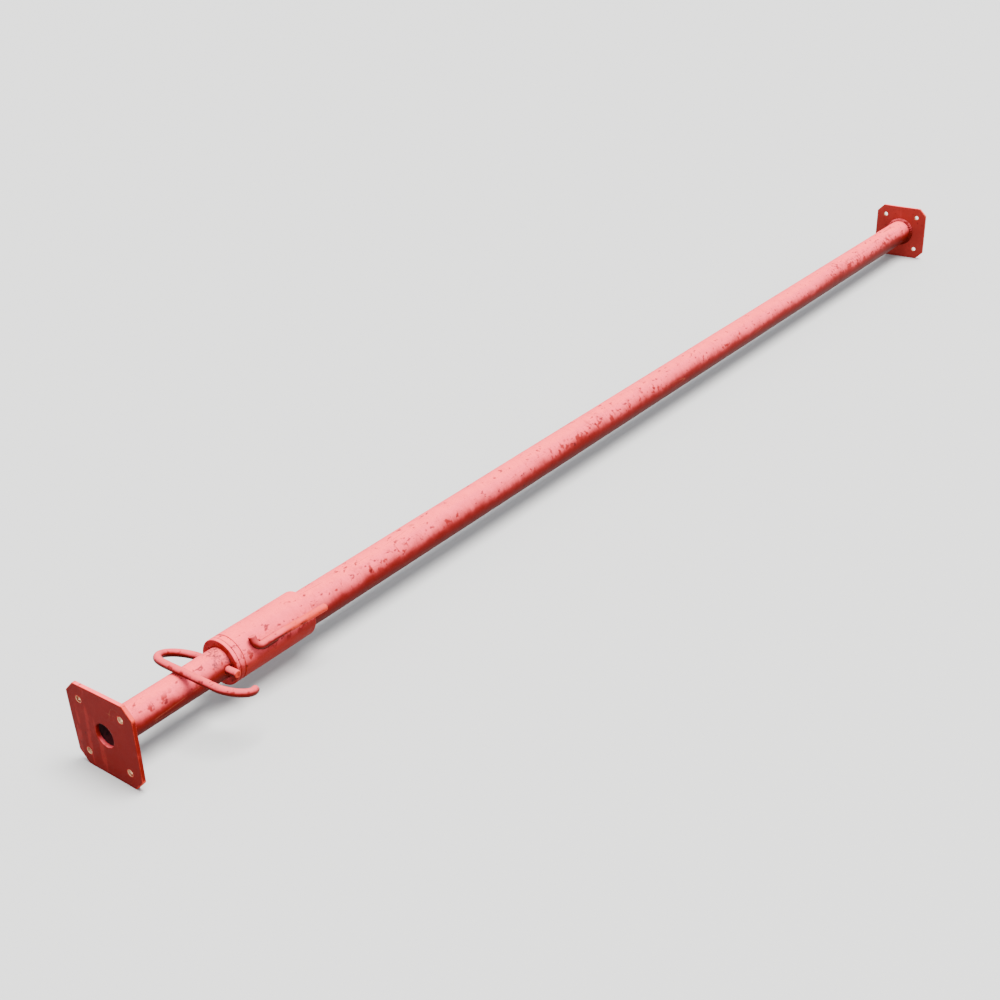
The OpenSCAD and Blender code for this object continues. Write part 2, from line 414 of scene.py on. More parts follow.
@dataclass(frozen=True)
class Sheet:
    """A sheet of even thickness with rounded edges: a border, holes, and points spread over it.

    Points come out as (u, v, depth), with the depth measured down from the top side.
    """

    border: Rim
    holes: tuple[Rim, ...]
    thickness: float
    top_round: float
    low_round: float
    spread: np.ndarray
    closed_border: bool = True
    gap: float = 0.8 * MM
    round_points: int = 4
    tolerance: float = 1e-9

    def build(self) -> Shape:
        """Makes both sides and every edge.

        Returns:
            The points, and the triangles and quads between them.
        """
        top, top_faces = self._side(self.top_round, 0.0)
        low, low_faces = self._side(self.low_round, self.thickness)
        points = [top, low]
        triangles = np.concatenate([top_faces, low_faces[:, ::-1] + len(top)])
        quads = []
        start = len(top) + len(low)
        for rim in ((self.border, *self.holes) if self.closed_border else self.holes):
            wall = self._wall(rim)
            quads.append(grid_faces(*wall.shape[:2]) + start)
            points.append(wall.reshape(-1, 3))
            start += wall.shape[0] * wall.shape[1]
        return np.concatenate(points), [triangles, np.concatenate(quads)]

    def _side(self, inset: float, depth: float) -> tuple[np.ndarray, np.ndarray]:
        """One flat side: its rings and spread points, joined into triangles, without those in a hole.

        Args:
            inset: How far the side's edges stand back from its rims.
            depth: Depth of the side below the sheet's top.

        Returns:
            The points, and the triangles between them.
        """
        border_inset = inset if self.closed_border else 0.0
        rings = [self.border.ring(border_inset, depth), *(hole.ring(inset, depth) for hole in self.holes)]
        near = [self.border.ring(border_inset + self.gap, depth) if self.closed_border else rings[0]]
        near += [hole.ring(inset + self.gap, depth) for hole in self.holes]
        free = inside(near[0], self.spread)
        for ring in near[1:]:
            free &= ~inside(ring, self.spread)
        flat = np.concatenate([*rings, self.spread[free]])
        edges = []
        start = 0
        for ring in rings:
            number = np.arange(len(ring))
            edges += np.stack([number + start, (number + 1) % len(ring) + start], axis=1).tolist()
            start += len(ring)
        made = delaunay_2d_cdt([Vector(point) for point in flat], edges, [], 0, self.tolerance)
        place = np.array([tuple(point) for point in made[0]])
        faces = np.array(made[2])
        middle = place[faces].mean(axis=1)
        kept = inside(rings[0], middle)
        for ring in rings[1:]:
            kept &= ~inside(ring, middle)
        return np.column_stack([place, np.full(len(place), depth)]), faces[kept]

    def _wall(self, rim: Rim) -> np.ndarray:
        """One edge: a quarter round from the top, the wall, and a quarter round into the low side.

        Args:
            rim: The edge's course in the sheet.

        Returns:
            Rings of points, from the top down.
        """
        top = arc((self.top_round, self.top_round), self.top_round, 270, 180, self.round_points)
        low_start = (self.low_round, self.thickness - self.low_round)
        low = arc(low_start, self.low_round, 180, 90, self.round_points)
        rings = []
        for inset, depth in np.concatenate([top, low]):
            ring = rim.ring(inset, depth)
            rings.append(np.column_stack([ring, np.full(len(ring), depth)]))
        return np.array(rings)


# ---- Pieces --------------------------------------------------------------------------------------


class Piece:
    """One piece of the prop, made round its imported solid.

    Every kind of piece names its node, the body that it rides on and its slot. It gives its shape and, where
    the primer isn't rubbed evenly, its rubbing.
    """

    node: str
    body: str
    slot: str
    even_rub = 0.0
    merge_distance = 2e-6
    sharp_curve = 1500.0

    @property
    def span(self) -> tuple[float, float]:
        """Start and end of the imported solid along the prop."""
        low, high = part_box(self.node)
        return low.x, high.x

    @property
    def width(self) -> float:
        """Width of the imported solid, along Y."""
        low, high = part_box(self.node)
        return high.y - low.y

    def shape(self) -> Shape:
        """Gives the piece's points, and its faces in arrays with their own numbers of corners."""
        raise NotImplementedError

    def rub(self, place: np.ndarray) -> np.ndarray:
        """How much the primer is rubbed at each point, up to 1, or grimed, down to -1."""
        return np.full(len(place), self.even_rub)

    def build(self, finish: bpy.types.Material) -> None:
        """Makes the piece and mounts it.

        Args:
            finish: The piece's material.
        """
        points, faces = self.shape()
        mesh = bpy.data.meshes.new(self.node)
        corner_lists = [tuple(face) for block in faces for face in block.tolist()]
        mesh.from_pydata(np.asarray(points, float).reshape(-1, 3).tolist(), [], corner_lists)
        self._close(mesh)
        mesh.polygons.foreach_set("use_smooth", np.ones(len(mesh.polygons), bool))
        self._mark(mesh)
        mesh.materials.append(finish)
        piece = bpy.data.objects.new(self.node, mesh)
        bpy.context.scene.collection.objects.link(piece)
        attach(piece, self.body)
        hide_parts(self.node)
        counts = (len(mesh.vertices), len(mesh.polygons))
        LOG.info("%s: %d points, %d faces, on body %s", self.node, *counts, self.body)

    def _close(self, mesh: bpy.types.Mesh) -> None:
        """Merges the points that lie together and turns every face outwards.

        Args:
            mesh: The mesh to change.
        """
        work = bmesh.new()
        work.from_mesh(mesh)
        bmesh.ops.remove_doubles(work, verts=work.verts, dist=self.merge_distance)
        bmesh.ops.dissolve_degenerate(work, edges=work.edges, dist=self.merge_distance)
        bmesh.ops.recalc_face_normals(work, faces=work.faces)
        work.to_mesh(mesh)
        work.free()
        mesh.update()

    def _mark(self, mesh: bpy.types.Mesh) -> None:
        """Stores three values at each point for the finishes to read.

        "rub" is how much the primer is rubbed there, or how grimed below 0. "sky" is the upward part of the
        point's normal; the finishes lay their painted shade and painted sheen by it. "bend" is the mean
        curvature along the point's edges, (difference of normals) · (difference of places) / (distance
        squared), over a sharp edge's curvature, squeezed into -1 to 1: positive on convex edges and negative
        in corners.

        Args:
            mesh: The mesh to mark.
        """
        count = len(mesh.vertices)
        place = np.empty(count * 3)
        mesh.vertices.foreach_get("co", place)
        place = place.reshape(-1, 3)
        normal = np.empty(count * 3)
        mesh.vertex_normals.foreach_get("vector", normal)
        normal = normal.reshape(-1, 3)
        ends = np.empty(len(mesh.edges) * 2, int)
        mesh.edges.foreach_get("vertices", ends)
        first, second = ends.reshape(-1, 2).T
        step = place[second] - place[first]
        turn = normal[second] - normal[first]
        curve = (turn * step).sum(1) / np.maximum((step * step).sum(1), NEAR_ZERO)
        total = np.bincount(first, curve, count) + np.bincount(second, curve, count)
        share = np.maximum(np.bincount(first, minlength=count) + np.bincount(second, minlength=count), 1)
        bend = np.tanh(total / share / self.sharp_curve)
        for label, values in (("sky", normal[:, 2]), ("bend", bend), ("rub", self.rub(place))):
            attribute = mesh.attributes.new(label, "FLOAT", "POINT")
            attribute.data.foreach_set("value", values.astype(np.float32))


# ---- Shader expressions --------------------------------------------------------------------------


class Value:
    """A number on the surface: a shader socket that takes part in Python arithmetic."""

    def __init__(self, graph: "Graph", socket: Socket) -> None:
        """Wraps a socket of a graph."""
        self.graph = graph
        self.socket = socket

    def __add__(self, other: "Value | float") -> "Value":
        """Sum."""
        return self.graph.maths("ADD", self, other)

    def __sub__(self, other: "Value | float") -> "Value":
        """Difference."""
        return self.graph.maths("SUBTRACT", self, other)

    def __rsub__(self, other: float) -> "Value":
        """Difference from a plain number."""
        return self.graph.maths("SUBTRACT", other, self)

    def __mul__(self, other: "Value | float") -> "Value":
        """Product."""
        return self.graph.maths("MULTIPLY", self, other)

    def __abs__(self) -> "Value":
        """Size without its sign."""
        return self.graph.maths("ABSOLUTE", self, 0.0)

    def most(self, other: "Value | float") -> "Value":
        """The larger of two."""
        return self.graph.maths("MAXIMUM", self, other)

    def least(self, other: "Value | float") -> "Value":
        """The smaller of two."""
        return self.graph.maths("MINIMUM", self, other)

    def sway(self, weight: float) -> "Value":
        """A noise about its middle, times a weight."""
        return (self - 0.5) * weight

    def eased(self, low: float, high: float) -> "Value":
        """Eases from 0 at low to 1 at high.

        Args:
            low: Value that gives 0.
            high: Value that gives 1. It may be the smaller one.

        Returns:
            A number from 0 to 1.
        """
        sockets = {"Value": self, "From Min": min(low, high), "From Max": max(low, high)}
        made = self.graph.node("ShaderNodeMapRange", {"interpolation_type": "SMOOTHSTEP"}, sockets)
        rising = Value(self.graph, made.outputs["Result"])
        return rising if low < high else 1.0 - rising


class Graph:
    """The node tree of one material."""

    def __init__(self, name: str) -> None:
        """Starts an empty material of that name."""
        self.material = bpy.data.materials.new(name)
        self.material.use_nodes = True
        self.tree = self.material.node_tree
        self.tree.nodes.clear()

    def node(self, kind: str, settings: dict | None = None, sockets: dict | None = None) -> bpy.types.Node:
        """Adds one node.

        Args:
            kind: The node's type.
            settings: Its own settings, which are set first.
            sockets: Values or links of its input sockets, by name or number.

        Returns:
            The new node.
        """
        made = self.tree.nodes.new(kind)
        for key, value in (settings or {}).items():
            setattr(made, key, value)
        for key, value in (sockets or {}).items():
            self._feed(made.inputs[key], value)
        return made

    def _feed(self, socket: Socket, value: object) -> None:
        """Links an input to what feeds it, or sets it to a constant.

        Args:
            socket: The input.
            value: A value, another node's socket, or a constant. A colour has three numbers.
        """
        source = value.socket if isinstance(value, Value) else value
        if isinstance(source, Socket):
            self.tree.links.new(source, socket)
        elif socket.type == "RGBA":
            socket.default_value = (*source, 1.0)
        else:
            socket.default_value = source

    def maths(self, operation: str, first: Value | float, second: Value | float) -> Value:
        """One step of arithmetic on values."""
        made = self.node("ShaderNodeMath", {"operation": operation}, {0: first, 1: second})
        return Value(self, made.outputs[0])

    def place(self) -> Socket:
        """The point of the surface, in metres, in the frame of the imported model."""
        return self.node("ShaderNodeTexCoord").outputs["Object"]

    def stretched(self, place: Socket, scale: Place, shift: Place = ORIGIN) -> Socket:
        """The point with each coordinate scaled and then shifted."""
        made = self.node("ShaderNodeMapping", None, {"Vector": place, "Location": shift, "Scale": scale})
        return made.outputs["Vector"]

    def stored(self, label: str) -> Value:
        """A value that the mesh stores at its points."""
        made = self.node("ShaderNodeAttribute", {"attribute_name": label})
        return Value(self, made.outputs["Fac"])

    def noise(self, place: Socket, scale: float, detail: float, rough: float = 0.55) -> Value:
        """Cloudy noise, about 0.5 on average.

        Args:
            place: Where it is read.
            scale: Cells in each metre.
            detail: Number of finer layers.
            rough: Strength of the finer layers.

        Returns:
            A number from 0 to 1.
        """
        sockets = {"Vector": place, "Scale": scale, "Detail": detail, "Roughness": rough}
        return Value(self, self.node("ShaderNodeTexNoise", None, sockets).outputs[0])

    def blend(self, share: Value | float, below: Socket | Colour, above: Socket | Colour) -> Socket:
        """Lays one colour over another.

        Args:
            share: How much of the upper colour shows.
            below: The lower colour.
            above: The upper colour.

        Returns:
            The mixed colour's socket.
        """
        factor, lower, upper, mixed = 0, 6, 7, 2
        made = self.node("ShaderNodeMix", {"data_type": "RGBA"}, {factor: share, lower: below, upper: above})
        return made.outputs[mixed]

    def relief(self, height: Value, depth: float, under: Socket | None = None) -> Socket:
        """Fine relief of the surface.

        Args:
            height: Height, from 0 to 1.
            depth: What a height of 1 means, in metres.
            under: Relief that this one is laid over.

        Returns:
            The normal's socket.
        """
        sockets = {"Strength": 1.0, "Distance": depth, "Height": height}
        if under is not None:
            sockets["Normal"] = under
        return self.node("ShaderNodeBump", None, sockets).outputs["Normal"]

    def surface(self, sockets: dict) -> bpy.types.Material:
        """Finishes the material with one principled surface.

        Args:
            sockets: Values or links of the surface's inputs.

        Returns:
            The finished material.
        """
        shader = self.node("ShaderNodeBsdfPrincipled", None, sockets)
        self.node("ShaderNodeOutputMaterial", None, {"Surface": shader.outputs[0]})
        return self.material


# ---- Finishes ------------------------------------------------------------------------------------


@dataclass(frozen=True)
class Tones:
    """Colours of the primer under its dust: its own colour where it faces up, and darker copies as painted
    shade where it faces sideways (deep) and down (shade).
    """

    body: Colour
    deep: Colour
    shade: Colour


class Coat(Enum):
    """Tones of the primer on a piece: its own colour, and the painted shade below it."""

    PLAIN = Tones((0.3, 0.028, 0.03), (0.11, 0.004, 0.003), (0.07, 0.003, 0.002))
    BRICK = Tones((0.25, 0.014, 0.011), (0.13, 0.004, 0.003), (0.09, 0.003, 0.002))
    # Brick tones painted lighter for the base plate: painted light, as if the base end stood in brighter
    # light.
    LIT_BRICK = Tones((0.36, 0.033, 0.028), (0.26, 0.022, 0.018), (0.2, 0.015, 0.012))
    # Lighter painted shade, for the nut, which turns its shaded underside up as it is screwed.
    SOFT_SHADE = Tones((0.36, 0.03, 0.03), (0.22, 0.012, 0.009), (0.17, 0.008, 0.006))


@dataclass(frozen=True)
class Reading:
    """What the primer reads at a point: its place, two stored values and four layers of noise."""

    graph: Graph
    place: Socket
    sky: Value
    rub: Value
    broad: Value
    cloudy: Value
    fine: Value
    runs: Value

    def noise(self, scale: float, detail: float, rough: float = 0.55, stretch: Place = UNIT,
              shift: Place = ORIGIN) -> Value:
        """Noise of its own, read where the point comes to be once it is stretched and shifted."""
        return self.graph.noise(self.graph.stretched(self.place, stretch, shift), scale, detail, rough)


@dataclass(frozen=True)
class Primer:
    """Red oxide primer: pink with dust and painted sheen where it faces up, plain red with painted shade
    below, and worn at its edges.
    """

    name: str
    coat: Coat = Coat.PLAIN
    # Dust and painted sheen: salmon as a painted highlight on top, lilac as a painted sky reflection on the
    # flanks.
    salmon: Colour = (0.93, 0.085, 0.1)
    lilac: Colour = (0.82, 0.075, 0.11)
    blotch: Colour = (0.13, 0.003, 0.001)
    scuff: Colour = (0.03, 0.003, 0.003)
    scratch: Colour = (0.2, 0.045, 0.02)
    worn: Colour = (0.55, 0.04, 0.022)
    oil: Colour = (0.03, 0.02, 0.022)
    rust: Colour = (0.07, 0.015, 0.006)
    steel: Colour = (0.5, 0.3, 0.17)
    # Where the dust and painted sheen begin on the upward normal, and how strongly they are laid.
    dust_and_sheen_height: float = 0.55
    dust_and_sheen_amount: float = 0.95
    dust_rough: float = 0.55
    wet_rough: float = 0.42
    drips: float = 0.0
    bare: float = 0.8
    shine: float = 0.02
    index: float = 1.5
    peel: float = 0.1 * MM
    chips: float = 0.35 * MM
    seed: float = 0.0

    def material(self) -> bpy.types.Material:
        """Builds the material, layer by layer from the paint up.

        Returns:
            The new material.
        """
        graph = Graph(self.name)
        read = self._read(graph)
        ragged = read.cloudy.sway(0.3) + read.runs.sway(0.1) + read.broad.sway(0.5)
        # shore rises with the upward normal: it places the dust and painted sheen on the faces that look up.
        shore = read.sky + ragged - self.dust_and_sheen_height
        washed = self._washed(read, shore)
        # Dust and painted sheen: partly real dust, partly painted highlight and sky reflection.
        dust_and_sheen = shore.eased(-0.38, 0.28) * (1.0 - washed * 0.8)
        # The paint's own colour, with painted shade on the faces that look down.
        tone = self._paint_and_shade(read, washed)
        tone = self._dust_and_sheen(read, tone, dust_and_sheen)
        tone = self._dripped(read, tone)
        tone = self._marked(read, tone, shore)
        tone, bare, oily = self._rubbed(read, tone)
        dry = dust_and_sheen * (self.dust_rough - self.wet_rough) + self.wet_rough
        rough = dry + read.fine.sway(0.15) - oily * 0.08
        peel = graph.relief(read.noise(scale=520.0, detail=2.0) + read.runs * 0.6, self.peel)
        return graph.surface({
            "Base Color": tone,
            "Roughness": rough,
            "Metallic": bare * 0.9,
            "Normal": graph.relief(read.cloudy * 0.5 - bare * 0.7, self.chips, peel),
            "IOR": self.index,
            "Specular IOR Level": self.shine,
        })

    def _read(self, graph: Graph) -> Reading:
        """Lays out what every layer reads, shifted by the seed so that finishes can differ.

        Args:
            graph: The material's graph.

        Returns:
            The reading.
        """
        place = graph.stretched(graph.place(), UNIT, (self.seed, self.seed, 0.0))
        return Reading(
            graph=graph,
            place=place,
            sky=graph.stored("sky"),
            rub=graph.stored("rub"),
            broad=graph.noise(place, scale=9.0, detail=3.0),
            cloudy=graph.noise(place, scale=75.0, detail=6.0, rough=0.62),
            fine=graph.noise(place, scale=450.0, detail=3.0),
            runs=graph.noise(graph.stretched(place, (1.0, 0.12, 0.12)), scale=260.0, detail=3.0),
        )

    def _washed(self, read: Reading, shore: Value) -> Value:
        """Blotches that rain has washed clean, in a band along the lower edge of the dust and painted sheen.

        Args:
            read: What is read at the point.
            shore: Height above the lower edge of the dust and painted sheen.

        Returns:
            The share of dust and painted sheen that is gone, from 0 to 1.
        """
        patches = read.noise(scale=115.0, detail=2.0, rough=0.5, shift=(3.1, 0.0, 0.0))
        sweep = read.noise(scale=6.0, detail=2.0, stretch=(1.0, 2.0, 2.0), shift=(0.0, 0.0, 4.4))
        band = shore.eased(-0.5, -0.1) * shore.eased(0.45, 0.05)
        return band * (patches + sweep.sway(0.45)).eased(0.56, 0.68)

    def _paint_and_shade(self, read: Reading, washed: Value) -> Socket:
        """Colour of the paint with painted shade, darkest underneath and brighter upwards by the upward
        normal, and dark red in the washed blotches.

        Args:
            read: What is read at the point.
            washed: The washed blotches.

        Returns:
            The colour's socket.
        """
        tones = self.coat.value
        # Painted shade: level follows the upward normal and blends the shade and deep tones up into the
        # body.
        level = read.sky + read.broad.sway(0.5) + read.cloudy.sway(0.5)
        tone = read.graph.blend(level.eased(-0.5, 0.1), tones.shade, tones.deep)
        tone = read.graph.blend(level.eased(0.0, 0.7), tone, tones.body)
        return read.graph.blend(washed * 0.8, tone, self.blotch)

    def _dust_and_sheen(self, read: Reading, tone: Socket, dust_and_sheen: Value) -> Socket:
        """Lays pink dust and painted sheen over the paint, thinner in its grain: a painted lilac sky
        reflection on the flanks and a painted salmon highlight on top.

        Args:
            read: What is read at the point.
            tone: The colour so far.
            dust_and_sheen: The share of dust and painted sheen.

        Returns:
            The colour with its dust and painted sheen.
        """
        # Painted sheen: the tint turns from lilac to salmon as the surface faces more nearly up.
        top = read.sky + read.broad.sway(0.3) + read.cloudy.sway(0.2)
        dust_and_sheen_tint = read.graph.blend(top.eased(0.8, 1.0), self.lilac, self.salmon)
        grit = read.noise(scale=1500.0, detail=1.0)
        cover = read.fine.sway(0.5) + read.cloudy.sway(0.5) + grit.sway(0.5) + read.runs.sway(0.25) + 0.88
        return read.graph.blend(dust_and_sheen * cover.least(1.0) * self.dust_and_sheen_amount, tone, dust_and_sheen_tint)

    def _dripped(self, read: Reading, tone: Socket) -> Socket:
        """Lets paint run down the upright sides.

        Args:
            read: What is read at the point.
            tone: The colour so far.

        Returns:
            The colour with its drips.
        """
        drip = read.noise(scale=95.0, detail=3.0, rough=0.5, stretch=(1.0, 1.0, 0.13),
                          shift=(1.7, 0.0, 0.0))
        drip = (drip + read.cloudy.sway(0.35)).eased(0.58, 0.7) * abs(read.sky).eased(0.6, 0.3)
        return read.graph.blend(drip * self.drips, tone, self.coat.value.body)

    def _marked(self, read: Reading, tone: Socket, shore: Value) -> Socket:
        """Adds the knocks and long scratches of handling.

        Args:
            read: What is read at the point.
            tone: The colour so far.
            shore: Height above the lower edge of the dust and painted sheen.

        Returns:
            The marked colour.
        """
        grain = read.noise(scale=150.0, detail=3.0, rough=0.5, stretch=(0.6, 1.0, 1.0),
                           shift=(0.0, 5.2, 0.0))
        crowd = read.noise(scale=17.0, detail=2.0)
        near = shore.eased(-0.5, 0.0) * shore.eased(0.9, 0.2) * 0.06
        knock = (grain + near + crowd.sway(0.2) + read.fine.sway(0.08)).eased(0.68, 0.76)
        tone = read.graph.blend(knock * 0.7, tone, self.scuff)
        lean = read.noise(scale=34.0, detail=0.0, stretch=(0.07, 1.0, 1.3), shift=(0.0, 0.0, 7.7))
        line = abs(lean - 0.5)
        scratch = line.eased(0.007, 0.002) * crowd.eased(0.5, 0.58) * read.fine.eased(0.38, 0.5)
        return read.graph.blend(scratch * 0.55, tone, self.scratch)

    def _rubbed(self, read: Reading, tone: Socket) -> tuple[Socket, Value, Value]:
        """Wears the primer at edges and rubbed places, down to rust and steel, and oils the grimed places.

        Args:
            read: What is read at the point.
            tone: The colour so far.

        Returns:
            The colour, the share of bare steel and the share of oily grime.
        """
        uneven = read.cloudy.sway(0.8) + read.fine.sway(0.4)
        wear = read.graph.stored("bend") * 0.8 + read.rub.most(0.0) + uneven
        worn = wear.eased(0.36, 0.62)
        bare = wear.eased(self.bare + 0.04, self.bare + 0.14)
        rusty = wear.eased(self.bare - 0.08, self.bare + 0.04)
        oily = (0.0 - read.rub + uneven * 1.3).eased(0.38, 0.6) * read.rub.eased(-0.02, -0.1)
        tone = read.graph.blend(worn * 0.7, tone, self.worn)
        tone = read.graph.blend(oily * 0.85, tone, self.oil)
        tone = read.graph.blend(rusty * 0.8, tone, self.rust)
        return read.graph.blend(bare, tone, self.steel), bare, oily


@dataclass(frozen=True)
class OiledSteel:
    """Bare turned steel, dull with oil."""

    name: str
    tint: Colour = (0.42, 0.4, 0.38)
    stain: Colour = (0.16, 0.1, 0.07)
    groove: float = 0.05 * MM

    def material(self) -> bpy.types.Material:
        """Builds the material.

        Returns:
            The new material.
        """
        graph = Graph(self.name)
        place = graph.place()
        stain = graph.noise(place, scale=60.0, detail=5.0)
        marks = graph.noise(graph.stretched(place, (1.0, 0.1, 0.1)), scale=900.0, detail=2.0)
        return graph.surface({
            "Base Color": graph.blend(stain.eased(0.45, 0.7), self.tint, self.stain),
            "Roughness": marks * 0.2 + 0.3,
            "Metallic": 0.9,
            "Normal": graph.relief(marks, self.groove),
        })


@dataclass(frozen=True)
class StageFinish:
    """Plain pale floor."""

    name: str
    tint: Colour = (0.42, 0.42, 0.415)
    rough: float = 0.85

    def material(self) -> bpy.types.Material:
        """Builds the material."""
        return Graph(self.name).surface({"Base Color": self.tint, "Roughness": self.rough})


# ---- The prop's pieces ---------------------------------------------------------------------------


class End(Enum):
    """One end of the prop, valued with the body that its plate and weld ride on."""

    BASE = "outer"
    HEAD = "inner"

    @property
    def seed(self) -> int:
        """Start of the random draws for the pieces at this end."""
        return 1 if self is End.BASE else 2

    @property
    def inwards(self) -> float:
        """Direction along X from this end's plate into the prop."""
        return 1.0 if self is End.BASE else -1.0


class Side(Enum):
    """A side of the handle's seat, valued with its direction round the nut."""

    UPPER = 1
    LOWER = -1


@dataclass(frozen=True)
class Unevenness:
    """Gentle waves and handling dents of a round part."""

    height: float
    pitch: float
    dent_count: int
    seed: int
    dent_share: float = 1.0

    def change(self, along: np.ndarray, angle: np.ndarray, radius: float,
               span: tuple[float, float]) -> np.ndarray:
        """What the waves and the dents add to the part's radius.

        Args:
            along: Places along the part.
            angle: Angles round it.
            radius: Radius of the part.
            span: Stretch of the part that holds the dents.

        Returns:
            Changes of the radius, below 0 in a dent.
        """
        waves = self.height * waviness(along, angle, self.pitch, self.seed)
        return waves - self.dent_share * dents(along, angle, radius, span, self.dent_count,
                                               self.seed + 1)


@dataclass(frozen=True)
class EndPlate(Piece):
    """Square plate with cut corners, a centre hole and four nail holes, a little bowed from its weld."""

    node: str
    end: End
    slot: str = "plate_primer"
    corner_cut: float = 14 * MM
    corner_round: float = 2.5 * MM
    centre_radius: float = 15 * MM
    centre_points: int = 56
    nail_spacing: float = 70 * MM
    nail_radius: float = 4 * MM
    nail_points: int = 28
    edge: float = 0.6 * MM
    bow: float = 0.7 * MM
    bow_level: float = 0.35
    bow_turn: float = 1.3
    knock_turn: float = 0.9
    knock_from: float = 0.42
    knock_to: float = 0.66
    knock_share: float = 1.2
    rub_width: float = 6 * MM
    nail_wear: float = 0.8
    corner_wear: float = 0.46
    rim_wear: float = 0.12
    spacing: float = 2.4 * MM
    scatter: float = 0.2

    @property
    def body(self) -> str:
        """Body that the plate rides on."""
        return self.end.value

    @property
    def nails(self) -> np.ndarray:
        """Middles of the four nail holes."""
        return self.nail_spacing / 2 * np.array([(1, 1), (-1, 1), (-1, -1), (1, -1)])

    def shape(self) -> Shape:
        """The drilled sheet, stood upright and bowed.

        Returns:
            The points and the faces.
        """
        low, high = self.span
        half = self.width / 2
        ticks = np.arange(-half, half, self.spacing)
        spread = np.stack(np.meshgrid(ticks, ticks), axis=-1).reshape(-1, 2)
        jitter = np.random.default_rng(self.end.seed).uniform(-self.scatter, self.scatter, spread.shape)
        holes = [round_hole(Rim, (0.0, 0.0), self.centre_radius, self.centre_points)]
        holes += [round_hole(Rim, nail, self.nail_radius, self.nail_points) for nail in self.nails]
        border = clipped_square(self.width, self.corner_cut, self.corner_round, self.spacing)
        spread = spread + jitter * self.spacing
        points, faces = Sheet(border, tuple(holes), high - low, self.edge, self.edge, spread).build()
        y, z, depth = points.T
        return np.stack([low + depth + self._bowing(y, z), y, z], axis=1), faces

    def _bowing(self, y: np.ndarray, z: np.ndarray) -> np.ndarray:
        """Bow of the plate: a share of (y cos t + z sin t)² towards the edges, and a knock at one corner.

        Args:
            y: Places across the plate.
            z: Places up the plate.

        Returns:
            Moves along X.
        """
        turn = self.end.seed * self.bow_turn
        knock_turn = turn + self.knock_turn
        across = (y * math.cos(turn) + z * math.sin(turn)) / self.width * 2
        towards_knock = y * math.cos(knock_turn) + z * math.sin(knock_turn)
        knock = smooth(towards_knock, self.knock_from * self.width, self.knock_to * self.width)
        return self.bow * (across**2 - self.bow_level - self.knock_share * knock)

    def rub(self, place: np.ndarray) -> np.ndarray:
        """Rubs the primer close round the nail holes, and along the plate's rim and corners.

        Args:
            place: Points of the piece.

        Returns:
            The rubbing at each point.
        """
        flat = place[:, 1:]
        nearest = np.min(np.linalg.norm(flat[:, None, :] - self.nails[None, :, :], axis=2), axis=1)
        size = np.abs(flat)
        both = size.sum(axis=1)
        half = self.width / 2
        corner_line = self.width - self.corner_cut
        rim = np.max(np.column_stack([size, (both - self.corner_cut * 0.5) * 0.72]), axis=1)
        around_nails = self.nail_wear * smooth(nearest, self.nail_radius + 1.5 * MM, self.nail_radius)
        at_corners = self.corner_wear * smooth(both, corner_line - self.rub_width, corner_line)
        along_rim = self.rim_wear * smooth(rim, half - self.rub_width, half)
        return np.maximum(around_nails, np.maximum(at_corners, along_rim))


